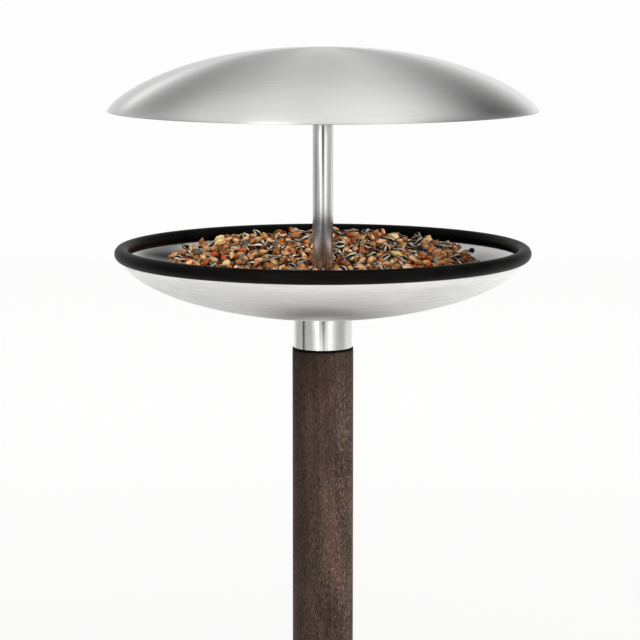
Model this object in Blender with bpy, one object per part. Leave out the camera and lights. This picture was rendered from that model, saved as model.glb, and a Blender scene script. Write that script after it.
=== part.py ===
# Garden bird feeder on a pole: a spun steel roof over a shallow steel bowl of seed with a rubber perch ring.
# Metres, +Z up. The origin lies on the axis at ground level, under the stop plate.

import math

import bmesh
import bpy

# Fits
fit_gap = 0.0003  # between two pieces that seat on each other
thread_gap = 0.0003  # round a plain screw shank in its bore
thread_end_gap = 0.0006  # beyond the end of a screw

# Ground spike and stop plate
spike_length = 0.25  # below ground
spike_diameter = 0.014
spike_point = 0.045
spike_tip_diameter = 0.0012
stop_plate_diameter = 0.06
stop_plate_thickness = 0.004
stop_plate_edge = 0.001

# Pole and what screws into its ends
pole_length = 0.9
pole_diameter = 0.0442
pole_edge = 0.0006
pole_washer_thickness = 0.0006
insert_length = 0.025
insert_diameter = 0.016
frame_screw_diameter = 0.01
insert_engagement = 0.021

# Collar
collar_height = 0.0209
collar_diameter = 0.0422
collar_wall = 0.0015
collar_lid = 0.003
collar_edge = 0.001
hub_diameter = 0.018
hub_flange_diameter = 0.028
hub_flange_thickness = 0.003

# Bowl
bowl_diameter = 0.291
bowl_depth = 0.0469
bowl_wall = 0.001
bowl_seat_diameter = 0.032  # flat at the centre
bowl_belly = 1.58
bowl_shoulder = 0.51
gasket_diameter = 0.03
gasket_thickness = 0.001

# Perch ring
ring_section = 0.01
ring_bite = 0.001  # how far the bowl's rim goes past the middle of the ring

# Seed in the bowl, banked up behind the rod
seed_front_drop = 0.017  # from the bowl's rim down to the seed in front
seed_back_rise = 0.0145  # from there up to the seed at the back
seed_bank_foot = -0.024  # where the rise starts, from the rod towards the back
seed_bank_top = 0.104  # where it ends
seed_side_fall = 0.0113  # from the middle to the bowl's sides
seed_grain = 0.002  # thickness of the seed at its edge
seed_clearance = 0.0008  # round the clamp washer and over it when the rod is unscrewed
unscrewed_rise = 0.0095  # of the rod and the clamp washer

# What clamps the bowl
seal_diameter = 0.026
seal_thickness = 0.001
clamp_washer_diameter = 0.028
clamp_washer_thickness = 0.0015
clamp_washer_edge = 0.0004
hub_engagement = 0.009

# Rod
rod_tube_length = 0.1666
rod_diameter = 0.015
rod_wall = 0.0015
rod_shoulder = 0.003
plug_depth = 0.018  # inside the tube
screw_chamfer = 0.0007

# Roof
roof_diameter = 0.308
roof_height = 0.0445
roof_wall = 0.001
roof_belly = 2.09
roof_shoulder = 0.749
boss_height = 0.013
boss_diameter = 0.02
roof_screw_diameter = 0.008
boss_engagement = 0.0075
roof_washer_thickness = 0.001

# Facets round each turn
wide_segments = 64
round_segments = 32
small_segments = 24
curve_steps = 11
rim_crowding = 1.5  # above 1, a spun curve's points crowd towards its rim, where it bends most
ring_steps = 13
edge_steps = 3
seed_steps = 5

# Heights of the stack, from the ground up
foot_washer_base = stop_plate_thickness + fit_gap
pole_base = foot_washer_base + pole_washer_thickness + fit_gap
pole_top = pole_base + pole_length
pole_washer_base = pole_top + fit_gap
collar_base = pole_washer_base + pole_washer_thickness + fit_gap
collar_top = collar_base + collar_height
hub_height = collar_height - collar_lid - fit_gap
gasket_base = collar_top + fit_gap
bowl_base = gasket_base + gasket_thickness + fit_gap
seal_base = bowl_base + bowl_wall + fit_gap
clamp_washer_base = seal_base + seal_thickness + fit_gap
shoulder_base = clamp_washer_base + clamp_washer_thickness + fit_gap
tube_base = shoulder_base + rod_shoulder + fit_gap
upper_shoulder_base = tube_base + rod_tube_length + fit_gap
roof_washer_base = upper_shoulder_base + rod_shoulder + fit_gap
boss_base = roof_washer_base + roof_washer_thickness + fit_gap
roof_eave = boss_base + boss_height + fit_gap + roof_wall - roof_height


def clear_scene():
    for old in list(bpy.data.objects):
        bpy.data.objects.remove(old, do_unlink=True)


def finish(name, colour, roughness, metallic=0.0):
    """A plain material in one colour."""
    made = bpy.data.materials.new(name)
    made.use_nodes = True
    shader = made.node_tree.nodes["Principled BSDF"]
    shader.inputs["Base Color"].default_value = (*colour, 1.0)
    shader.inputs["Roughness"].default_value = roughness
    shader.inputs["Metallic"].default_value = metallic
    return made


def group(name, height):
    """An empty on the axis, which carries the pieces that move together."""
    empty = bpy.data.objects.new(name, None)
    empty.location.z = height
    bpy.context.collection.objects.link(empty)
    return empty


def solid(name, shape, parent, height, colour, roughness, metallic=0.0):
    """Makes a closed bmesh into a piece, seated at a height on the axis."""
    bmesh.ops.remove_doubles(shape, verts=shape.verts, dist=0.000001)
    bmesh.ops.recalc_face_normals(shape, faces=shape.faces)
    mesh = bpy.data.meshes.new(name)
    shape.to_mesh(mesh)
    shape.free()
    mesh.shade_smooth()
    mesh.set_sharp_from_angle(angle=math.radians(32))
    mesh.materials.append(finish(name, colour, roughness, metallic))
    piece = bpy.data.objects.new(name, mesh)
    bpy.context.collection.objects.link(piece)
    piece.parent = parent
    piece.location.z = height - parent.location.z
    return piece


def turned(name, outline, segments, parent, height, colour, roughness, metallic=0.0):
    """Spins an outline of (radius, height) points round Z.

    An outline that starts or ends on the axis is open there, and any other is closed."""
    shape = bmesh.new()
    points = [shape.verts.new((radius, 0, z)) for radius, z in outline]
    edges = [shape.edges.new(pair) for pair in zip(points, points[1:])]
    if outline[0][0] > 0:
        edges.append(shape.edges.new((points[-1], points[0])))
    bmesh.ops.spin(
        shape,
        geom=points + edges,
        cent=(0, 0, 0),
        axis=(0, 0, 1),
        angle=math.tau,
        steps=segments,
        use_merge=True,
    )
    return solid(name, shape, parent, height, colour, roughness, metallic)


def arc(centre, radius, start, end, steps):
    """Points along an arc in the (radius, height) plane, with angles in degrees from outwards."""
    angles = [math.radians(start + (end - start) * i / steps) for i in range(steps + 1)]
    return [
        (centre[0] + radius * math.cos(a), centre[1] + radius * math.sin(a)) for a in angles
    ]


def spun_curve(width, depth, flat, belly, shoulder):
    """A spun sheet's outline, from its flat centre at height 0 out to its rim at height depth.

    The height is depth * (1 - (1 - u ** belly) ** shoulder), where u goes from 0 at the flat to 1."""
    shares = [1 - (1 - i / curve_steps) ** rim_crowding for i in range(curve_steps + 1)]
    angles = [math.pi / 2 * share for share in shares]
    return [
        (
            flat + (width - flat) * math.sin(a) ** (2 / belly),
            depth * (1 - max(math.cos(a), 0) ** (2 * shoulder)),
        )
        for a in angles
    ]


def inside(curve, wall):
    """The curve moved by the sheet's thickness to its inner side, and ending level with its rim."""
    moved = []
    rim = curve[-1][1]
    for i, (radius, z) in enumerate(curve):
        before = curve[max(i - 1, 0)]
        after = curve[min(i + 1, len(curve) - 1)]
        run, rise = after[0] - before[0], after[1] - before[1]
        size = math.hypot(run, rise)
        if i == 0:
            run, rise, size = 1, 0, 1
        if i == len(curve) - 1:
            run, rise, size = 0, 1, 1
        moved.append((radius - wall * rise / size, min(z + wall * run / size, rim)))
    return moved


def washer(name, outer, bore, thickness, segments, parent, height, look, edge=0.0):
    """A flat ring, with a chamfered outer edge where one is given."""
    rim = [(outer / 2, 0), (outer / 2, thickness)]
    if edge:
        rim = [
            (outer / 2 - edge, 0),
            (outer / 2, edge),
            (outer / 2, thickness - edge),
            (outer / 2 - edge, thickness),
        ]
    outline = [(bore / 2, 0), *rim, (bore / 2, thickness)]
    return turned(name, outline, segments, parent, height, *look)


def bore_for(screw):
    return screw + 2 * thread_gap


steel_look = ((0.62, 0.61, 0.60), 0.32, 1.0)
turned_look = ((0.56, 0.55, 0.54), 0.38, 1.0)
zinc_look = ((0.50, 0.50, 0.48), 0.45, 1.0)
brass_look = ((0.60, 0.44, 0.20), 0.40, 1.0)
rubber_look = ((0.012, 0.012, 0.012), 0.60)
wood_look = ((0.060, 0.036, 0.026), 0.62)
seed_look = ((0.36, 0.19, 0.09), 0.70)


def ground_spike(parent):
    tip = spike_tip_diameter / 2
    shank = frame_screw_diameter / 2
    top = pole_base + fit_gap + insert_engagement
    outline = [
        (0, -spike_length),
        (tip, -spike_length),
        (spike_diameter / 2, spike_point - spike_length),
        (spike_diameter / 2, stop_plate_thickness),
        (shank, stop_plate_thickness),
        (shank, top - screw_chamfer),
        (shank - screw_chamfer, top),
        (0, top),
    ]
    turned("ground_spike", outline, small_segments, parent, 0, *zinc_look)


def pole(parent):
    radius = pole_diameter / 2
    bore = insert_diameter / 2 + fit_gap
    depth = insert_length + 2 * fit_gap
    outline = [
        (0, depth),
        (bore, depth),
        (bore, 0),
        (radius - pole_edge, 0),
        (radius, pole_edge),
        (radius, pole_length - pole_edge),
        (radius - pole_edge, pole_length),
        (bore, pole_length),
        (bore, pole_length - depth),
        (0, pole_length - depth),
    ]
    turned("pole", outline, round_segments, parent, pole_base, *wood_look)


def inserts(parent):
    bore = bore_for(frame_screw_diameter)
    upper = pole_top - fit_gap - insert_length
    for name, height in (("foot_insert", pole_base + fit_gap), ("top_insert", upper)):
        washer(name, insert_diameter, bore, insert_length, small_segments, parent, height, brass_look)


def pole_washers(parent):
    bore = bore_for(frame_screw_diameter)
    for name, height in (("foot_washer", foot_washer_base), ("pole_washer", pole_washer_base)):
        washer(
            name,
            pole_diameter,
            bore,
            pole_washer_thickness,
            round_segments,
            parent,
            height,
            rubber_look,
        )


def stop_plate(parent):
    # fixed round the spike's bar, whose shoulder is level with the plate's top
    washer(
        "stop_plate",
        stop_plate_diameter,
        spike_diameter + 2 * fit_gap,
        stop_plate_thickness,
        round_segments,
        parent,
        0,
        zinc_look,
        stop_plate_edge,
    )


def collar(parent):
    radius = collar_diameter / 2
    bore = bore_for(frame_screw_diameter) / 2
    under = collar_height - collar_lid
    corner = (radius - collar_edge, collar_height - collar_edge)
    outline = [
        (radius - collar_wall, 0),
        (radius, 0),
        *arc(corner, collar_edge, 0, 90, edge_steps),
        (bore, collar_height),
        (bore, under),
        (radius - collar_wall, under),
    ]
    turned("collar", outline, round_segments, parent, collar_base, *steel_look)


def collar_hub(parent):
    bore = bore_for(frame_screw_diameter) / 2
    outline = [
        (bore, 0),
        (hub_flange_diameter / 2, 0),
        (hub_flange_diameter / 2, hub_flange_thickness),
        (hub_diameter / 2, hub_flange_thickness),
        (hub_diameter / 2, hub_height),
        (bore, hub_height),
    ]
    turned("collar_hub", outline, small_segments, parent, collar_base, *turned_look)


def collar_stud(parent):
    radius = frame_screw_diameter / 2
    base = pole_top - fit_gap - insert_engagement
    top = collar_base + hub_height - hub_engagement - thread_end_gap
    length = top - base
    outline = [
        (0, 0),
        (radius - screw_chamfer, 0),
        (radius, screw_chamfer),
        (radius, length - screw_chamfer),
        (radius - screw_chamfer, length),
        (0, length),
    ]
    turned("collar_stud", outline, small_segments, parent, base, *zinc_look)


def bowl_curve():
    return spun_curve(
        bowl_diameter / 2, bowl_depth, bowl_seat_diameter / 2, bowl_belly, bowl_shoulder
    )


def bowl(parent):
    hole = bore_for(frame_screw_diameter) / 2
    outer = bowl_curve()
    inner = inside(outer, bowl_wall)
    lip = bowl_depth + ring_bite
    outline = [
        (hole, 0),
        *outer,
        (outer[-1][0], lip),
        (inner[-1][0], lip),
        *reversed(inner),
        (hole, bowl_wall),
    ]
    turned("bowl", outline, wide_segments, parent, bowl_base, *steel_look)


def bowl_radius_at(drop):
    """The bowl's outer radius at a distance below its rim."""
    level = (drop / bowl_depth) ** (1 / (2 * bowl_shoulder))
    flat = bowl_seat_diameter / 2
    return flat + (bowl_diameter / 2 - flat) * math.sqrt(1 - level**2) ** (2 / bowl_belly)


def rim_ring(parent):
    """A round rubber ring with a slit from below that follows the bowl's wall."""
    radius = ring_section / 2
    middle = (bowl_diameter - bowl_wall) / 2
    half_way = radius / 2

    def side(drop, offset):
        return bowl_radius_at(max(drop, 0)) + offset, -drop

    def mouth(offset):
        """Where a side of the slit comes out of the round section."""
        drop = radius
        for _ in range(20):
            across = side(drop, offset)[0] - middle
            drop = math.sqrt(radius**2 - across**2)
        return math.degrees(math.atan2(-drop, across))

    outer_side = fit_gap
    inner_side = -bowl_wall - fit_gap
    top = -ring_bite - fit_gap
    outline = arc((middle, 0), radius, mouth(outer_side), mouth(inner_side) + 360, ring_steps)
    outline += [side(drop, inner_side) for drop in (half_way, 0, top)]
    outline += [side(drop, outer_side) for drop in (top, 0, half_way)]
    turned("rim_ring", outline, wide_segments, parent, bowl_base + bowl_depth, *rubber_look)


def seed_top_at(across, back):
    """The height of the seed's surface over the bowl's base."""
    share = (back - seed_bank_foot) / (seed_bank_top - seed_bank_foot)
    share = min(max(share, 0), 1)
    bank = seed_back_rise * share**2 * (3 - 2 * share)
    fall = seed_side_fall * (2 * across / bowl_diameter) ** 2
    return bowl_depth - seed_front_drop + bank - fall


def seed_floor_at(radius):
    """The height of the seed's underside, clear of the bowl's sheet."""
    sheet = bowl_wall + fit_gap
    flat = bowl_seat_diameter / 2
    share = max((radius + sheet - flat) / (bowl_diameter / 2 - flat), 0)
    return sheet + bowl_depth * (1 - (1 - share**bowl_belly) ** bowl_shoulder)


def seed_edge(across, back):
    """How far out the seed reaches in one direction, up to the inner side of the perch ring."""
    near = 0
    far = (bowl_diameter - bowl_wall - ring_section) / 2 - fit_gap
    if seed_top_at(across * far, back * far) - seed_floor_at(far) > seed_grain:
        return far
    while far - near > fit_gap / 10:
        middle = (near + far) / 2
        if seed_top_at(across * middle, back * middle) - seed_floor_at(middle) > seed_grain:
            near = middle
        else:
            far = middle
    return near


def seed_mix(parent):
    """The seed round the rod, with a hollow over the clamp washer.

    It is closed from outlines all round the axis, which differ in their edge and their top."""
    bore = rod_diameter / 2 + fit_gap
    hollow = clamp_washer_diameter / 2 + seed_clearance
    washer_top = clamp_washer_base + clamp_washer_thickness - bowl_base
    hollow_top = washer_top + unscrewed_rise + seed_clearance
    shape = bmesh.new()
    outlines = []
    for i in range(round_segments):
        angle = math.tau * i / round_segments
        across, back = math.cos(angle), math.sin(angle)
        edge = seed_edge(across, back)
        shares = [j / seed_steps for j in range(seed_steps + 1)]
        floor = [hollow + (edge - hollow) * share for share in shares]
        top = [edge + (bore - edge) * share for share in shares]
        outline = [(radius, seed_floor_at(radius)) for radius in floor]
        outline += [(radius, seed_top_at(across * radius, back * radius)) for radius in top]
        outline += [(bore, hollow_top), (hollow, hollow_top)]
        outlines.append([shape.verts.new((across * r, back * r, z)) for r, z in outline])
    for near, far in zip(outlines, outlines[1:] + outlines[:1]):
        for j in range(len(near)):
            shape.faces.new((near[j - 1], near[j], far[j], far[j - 1]))
    solid("seed_mix", shape, parent, bowl_base, *seed_look)


def bowl_washers(stand, clamp):
    bore = bore_for(frame_screw_diameter)
    washer(
        "bowl_gasket",
        gasket_diameter,
        bore,
        gasket_thickness,
        small_segments,
        stand,
        gasket_base,
        rubber_look,
    )
    washer(
        "bowl_seal",
        seal_diameter,
        bore,
        seal_thickness,
        small_segments,
        clamp,
        seal_base,
        rubber_look,
    )
    washer(
        "clamp_washer",
        clamp_washer_diameter,
        bore,
        clamp_washer_thickness,
        small_segments,
        clamp,
        clamp_washer_base,
        steel_look,
        clamp_washer_edge,
    )


def plug(name, screw, length, parent, height, upwards):
    """A turned plug: a spigot in the tube, a shoulder across its end and a screw beyond."""
    spigot = rod_diameter / 2 - rod_wall - fit_gap
    outline = [
        (0, -plug_depth - fit_gap),
        (spigot, -plug_depth - fit_gap),
        (spigot, 0),
        (rod_diameter / 2, 0),
        (rod_diameter / 2, rod_shoulder),
        (screw / 2, rod_shoulder),
        (screw / 2, rod_shoulder + length - screw_chamfer),
        (screw / 2 - screw_chamfer, rod_shoulder + length),
        (0, rod_shoulder + length),
    ]
    if not upwards:
        outline = [(radius, rod_shoulder - z) for radius, z in outline]
    turned(name, outline, small_segments, parent, height, *turned_look)


def rod(parent):
    lower_end = collar_top - collar_lid - fit_gap - hub_engagement
    plug(
        "rod_lower_plug",
        frame_screw_diameter,
        shoulder_base - lower_end,
        parent,
        shoulder_base,
        False,
    )
    washer(
        "rod_tube",
        rod_diameter,
        rod_diameter - 2 * rod_wall,
        rod_tube_length,
        small_segments,
        parent,
        tube_base,
        steel_look,
    )
    upper_end = boss_base + boss_engagement
    plug(
        "rod_upper_plug",
        roof_screw_diameter,
        upper_end - upper_shoulder_base - rod_shoulder,
        parent,
        upper_shoulder_base,
        True,
    )


def roof_boss(parent):
    bore = bore_for(roof_screw_diameter) / 2
    depth = boss_engagement + thread_end_gap
    outline = [
        (0, depth),
        (bore, depth),
        (bore, 0),
        (boss_diameter / 2, 0),
        (boss_diameter / 2, boss_height),
        (0, boss_height),
    ]
    turned("roof_boss", outline, small_segments, parent, boss_base, *turned_look)


def roof(parent):
    flat = boss_diameter / 2
    curve = spun_curve(roof_diameter / 2, roof_height, flat, roof_belly, roof_shoulder)
    inner = inside(curve, roof_wall)
    sheet = [(0, 0), *curve, *reversed(inner), (0, roof_wall)]
    outline = [(radius, roof_height - z) for radius, z in sheet]
    turned("roof", outline, wide_segments, parent, roof_eave, *steel_look)


def build():
    clear_scene()
    stand = group("stand", 0)
    lift = group("bowl_lift", bowl_base)
    clamp = group("canopy_rise", seal_base)
    canopy = group("canopy_turn", shoulder_base)
    roof_seat = group("roof_rise", roof_washer_base)
    roof_turn = group("roof_turn", boss_base)
    ground_spike(stand)
    stop_plate(stand)
    pole_washers(stand)
    inserts(stand)
    pole(stand)
    collar(stand)
    collar_hub(stand)
    collar_stud(stand)
    bowl_washers(stand, clamp)
    bowl(lift)
    rim_ring(lift)
    seed_mix(lift)
    rod(canopy)
    washer(
        "roof_washer",
        rod_diameter,
        bore_for(roof_screw_diameter),
        roof_washer_thickness,
        small_segments,
        roof_seat,
        roof_washer_base,
        rubber_look,
    )
    roof_boss(roof_turn)
    roof(roof_turn)


build()
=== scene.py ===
import math

import bpy
import numpy as np
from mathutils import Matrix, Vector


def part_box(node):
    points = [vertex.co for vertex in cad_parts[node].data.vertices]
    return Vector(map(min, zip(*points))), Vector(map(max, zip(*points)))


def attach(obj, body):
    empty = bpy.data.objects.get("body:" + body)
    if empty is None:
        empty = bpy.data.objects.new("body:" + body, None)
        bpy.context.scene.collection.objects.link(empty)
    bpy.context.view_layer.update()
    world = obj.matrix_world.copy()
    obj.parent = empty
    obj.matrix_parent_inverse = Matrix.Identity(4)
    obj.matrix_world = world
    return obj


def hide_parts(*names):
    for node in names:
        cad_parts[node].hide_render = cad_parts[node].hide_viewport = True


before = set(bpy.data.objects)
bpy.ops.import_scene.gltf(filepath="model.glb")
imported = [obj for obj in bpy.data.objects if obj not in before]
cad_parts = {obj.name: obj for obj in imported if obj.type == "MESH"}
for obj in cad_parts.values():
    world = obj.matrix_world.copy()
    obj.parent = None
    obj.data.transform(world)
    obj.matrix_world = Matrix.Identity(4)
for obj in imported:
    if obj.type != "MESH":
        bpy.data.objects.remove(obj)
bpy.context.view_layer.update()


# Camera
photoView = {
    "distance": 1.803,  # from the camera to the feeder's axis
    "aboveRing": 0.2139,  # above the plane of the perch ring
    "toTheRight": -0.0021,
    "pitchDown": 8.315,
    "lens": 141.6,
    "sensor": 36.0,
}


def placeCamera():
    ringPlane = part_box("bowl")[1].z - bowlForm["bite"]
    tilt = math.radians(90 - photoView["pitchDown"])
    place = (photoView["toTheRight"], -photoView["distance"], ringPlane + photoView["aboveRing"])
    bpy.ops.object.camera_add(location=place, rotation=(tilt, 0, 0))
    camera = bpy.context.object
    camera.name = "photoCamera"
    camera.data.lens = photoView["lens"]
    camera.data.sensor_width = photoView["sensor"]
    camera.data.clip_end = 100
    bpy.context.scene.camera = camera
    print("camera placed at", [round(v, 3) for v in place])


class Signal:
    # a shader socket that does maths: each operator adds its own Math node
    def __init__(self, tree, socket=None):
        self.tree = tree
        self.socket = socket

    def node(self, kind, settings=None, sockets=None, output=0):
        made = self.tree.nodes.new(kind)
        for name, value in (settings or {}).items():
            if name == "stops":
                while len(made.color_ramp.elements) < len(value):
                    made.color_ramp.elements.new(0.5)
                for stop, (place, shade) in zip(made.color_ramp.elements, value):
                    stop.position = place
                    stop.color = (*shade, 1)
            else:
                setattr(made, name, value)
        for name, value in (sockets or {}).items():
            if isinstance(value, Signal):
                self.tree.links.new(value.socket, made.inputs[name])
            else:
                made.inputs[name].default_value = value
        return Signal(self.tree, made.outputs[output])

    def out(self, name):
        return Signal(self.tree, self.socket.node.outputs[name])

    def maths(self, operation, *values):
        return self.node("ShaderNodeMath", {"operation": operation}, dict(enumerate(values)))

    def __add__(self, other):
        return self.maths("ADD", self, other)

    __radd__ = __add__

    def __mul__(self, other):
        return self.maths("MULTIPLY", self, other)

    __rmul__ = __mul__

    def __sub__(self, other):
        return self.maths("SUBTRACT", self, other)

    def __rsub__(self, other):
        return self.maths("SUBTRACT", other, self)

    def __truediv__(self, other):
        return self.maths("DIVIDE", self, other)

    def __pow__(self, other):
        return self.maths("POWER", self, other)

    def limit(self):
        return self.node("ShaderNodeClamp", None, {0: self})

    def between(self, low, high):
        # 0 below low, 1 above high and a smooth step from one to the other
        settings = {"interpolation_type": "SMOOTHSTEP"}
        return self.node("ShaderNodeMapRange", settings, {0: self, 1: low, 2: high})

    def spread(self):
        # a noise from 0 to 1, since most of its values lie in this range
        return self.between(0.3, 0.7)

    def noise(self, vector, detail=2.0, roughness=0.5, scale=1.0):
        sockets = {"Vector": vector, "Scale": scale, "Detail": detail, "Roughness": roughness}
        return self.node("ShaderNodeTexNoise", None, sockets)

    def vector(self, x, y, z):
        return self.node("ShaderNodeCombineXYZ", None, {0: x, 1: y, 2: z})

    def blend(self, share, first, second):
        # mixes two colours
        settings = {"data_type": "RGBA", "clamp_factor": True}
        made = self.node("ShaderNodeMix", settings, {"Factor": share}, output=2)
        for socket, colour in ((6, first), (7, second)):
            if isinstance(colour, Signal):
                self.tree.links.new(colour.socket, made.socket.node.inputs[socket])
            else:
                made.socket.node.inputs[socket].default_value = (*colour, 1)
        return made

    def bump(self, height, strength, distance):
        sockets = {"Strength": strength, "Distance": distance, "Height": height}
        return self.node("ShaderNodeBump", None, sockets)

    def glow(self, strength):
        return self.node("ShaderNodeEmission", None, {"Color": (1, 1, 1, 1), "Strength": strength})


def newMaterial(name, fixed):
    # a Principled material, whose values that don't vary are set on its sockets
    material = bpy.data.materials.new(name)
    material.use_nodes = True
    shader = material.node_tree.nodes["Principled BSDF"]
    for socket, value in fixed.items():
        shader.inputs[socket].default_value = (*value, 1) if isinstance(value, tuple) else value
    return material, Signal(material.node_tree)


def feed(material, colour, roughness, bump=None):
    # links what varies over a surface
    shader = material.node_tree.nodes["Principled BSDF"]
    for socket, signal in {"Base Color": colour, "Roughness": roughness, "Normal": bump}.items():
        if signal:
            material.node_tree.links.new(signal.socket, shader.inputs[socket])
    return material


def objectPlace(signal):
    place = signal.node("ShaderNodeTexCoord", output="Object")
    split = signal.node("ShaderNodeSeparateXYZ", None, {0: place})
    return place, split.out("X"), split.out("Y"), split.out("Z")


# Materials
# The grooves that brushing leaves, from fine to wide: shares of the look's own grooves and streak, a shift that
# keeps a layer from following the one before, the noise's detail and roughness, and the layer's weight.
grooveLayers = [
    {"grooves": 1, "streak": 1, "shift": 0, "detail": 3, "roughness": 0.6, "weight": 0.4},
    {"grooves": 0.35, "streak": 1, "shift": 4, "detail": 2, "roughness": 0.5, "weight": 0.35},
    {"grooves": 0.1, "streak": 0.4, "shift": 0, "detail": 2, "roughness": 0.5, "weight": 0.25},
]


def brushedSteel(name, look):
    # grooves run round the axis, so they lie at steady places along the turned outline
    fixed = {"Metallic": 1.0, "Anisotropic": look["anisotropy"], "Anisotropic Rotation": look["turned"]}
    material, s = newMaterial(name, fixed)
    place, x, y, z = objectPlace(s)
    radius = (x * x + y * y + 1e-9) ** 0.5  # never 0, since x and y are divided by it
    across, back, along = x / radius, y / radius, radius + z * look["slope"]
    noises = []
    for layer in grooveLayers:
        turns, rows = look["streak"] * layer["streak"], look["grooves"] * layer["grooves"]
        groove = s.vector(across * turns + layer["shift"], back * turns, along * rows)
        noises.append(s.noise(groove, layer["detail"], layer["roughness"]))
    mask = sum(noise * layer["weight"] for noise, layer in zip(noises, grooveLayers))
    cloud = s.noise(place, 2, 0.5, look["clouds"])
    dark = tuple(v * (1 - look["change"]) for v in look["colour"])
    light = tuple(min(v * (1 + look["change"]), 1) for v in look["colour"])
    colour = s.blend(mask.spread(), dark, light)
    rough = look["roughness"] + (mask - 0.5) * look["roughChange"] + (cloud - 0.5) * look["cloudChange"]
    return feed(material, colour, rough, s.bump(noises[0], look["bump"], look["grooveDepth"]))


roofSteelLook = {
    "colour": (0.71, 0.705, 0.70),
    "change": 0.05,
    "roughness": 0.30,
    "roughChange": 0.10,
    "cloudChange": 0.03,
    "clouds": 22,
    "anisotropy": 0.92,
    "turned": 0.25,
    "streak": 7.0,
    "grooves": 2400,
    "slope": -1.0,
    "bump": 0.12,
    "grooveDepth": 0.00004,
}
bowlSteelLook = {
    **roofSteelLook,
    "slope": 1.0,
    "colour": (0.74, 0.735, 0.73),
    "roughness": 0.52,
    "anisotropy": 0.85,
    "turned": 0.0,
    "streak": 9.0,
    "grooves": 1500,
    "change": 0.12,
    "bump": 0.16,
}
innerSteelLook = {
    **roofSteelLook,
    "colour": (0.80, 0.795, 0.79),
    "slope": 1.0,
    "roughness": 0.18,
    "anisotropy": 0.3,
    "roughChange": 0.04,
    "bump": 0.03,
}
tubeSteelLook = {
    **roofSteelLook,
    "slope": 1.0,
    "roughness": 0.115,
    "anisotropy": 0.97,
    "streak": 4.0,
    "bump": 0.06,
    "roughChange": 0.05,
}
# painted shade: a dark line on the roof's rounded lower rim, where a hem's shadow would fall
rimShadeLook = {**roofSteelLook, "colour": (0.30, 0.30, 0.30), "roughness": 0.45, "anisotropy": 0.2}
turnedSteelLook = {
    **tubeSteelLook,
    "colour": (0.62, 0.61, 0.60),
    "roughness": 0.33,
    "grooves": 1800,
    "bump": 0.2,
}


def zincSteel(look):
    material, s = newMaterial("zincSteel", {"Metallic": 1.0})
    place = objectPlace(s)[0]
    spangle = s.node("ShaderNodeTexVoronoi", None, {"Vector": place, "Scale": look["spangles"]}, "Color")
    tone = s.node("ShaderNodeSeparateColor", None, {0: spangle})
    grain = s.noise(place, 3, 0.6, look["grain"])
    colour = s.blend(tone * 0.6 + grain * 0.4, look["dark"], look["light"])
    rough = look["roughness"] + (tone - 0.5) * look["roughChange"]
    return feed(material, colour, rough, s.bump(grain, look["bump"], look["relief"]))


zincLook = {
    "spangles": 420,
    "grain": 1500,
    "dark": (0.40, 0.41, 0.42),
    "light": (0.62, 0.62, 0.61),
    "roughness": 0.42,
    "roughChange": 0.16,
    "bump": 0.15,
    "relief": 0.0001,
}


def rubber(name, look):
    material, s = newMaterial(name, {"Specular IOR Level": look["specular"]})
    place = objectPlace(s)[0]
    grain = s.noise(place, 3, 0.6, look["grain"])
    cloud = s.noise(place, 2, 0.5, look["clouds"])
    colour = s.blend(cloud.spread(), look["dark"], look["light"])
    rough = look["roughness"] + (cloud - 0.5) * look["roughChange"]
    return feed(material, colour, rough, s.bump(grain, look["bump"], look["relief"]))


perchRubberLook = {
    "dark": (0.0016, 0.0014, 0.0012),
    "light": (0.0032, 0.0028, 0.0024),
    "roughness": 0.42,
    "roughChange": 0.12,
    "specular": 0.05,
    "grain": 2600,
    "clouds": 60,
    "bump": 0.18,
    "relief": 0.00006,
}
washerRubberLook = {**perchRubberLook, "roughness": 0.6}


def insertBrass(look):
    material, s = newMaterial("insertBrass", {"Metallic": 1.0})
    tarnish = s.noise(objectPlace(s)[0], 3, 0.6, look["tarnish"])
    colour = s.blend(tarnish.between(*look["dulled"]), look["bright"], look["dull"])
    return feed(material, colour, look["roughness"] + tarnish * look["roughChange"])


brassLook = {
    "bright": (0.72, 0.52, 0.22),
    "dull": (0.46, 0.31, 0.12),
    "tarnish": 260,
    "dulled": (0.35, 0.7),  # of the tarnish, where the dull colour starts and is full
    "roughness": 0.3,
    "roughChange": 0.2,
}


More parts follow.
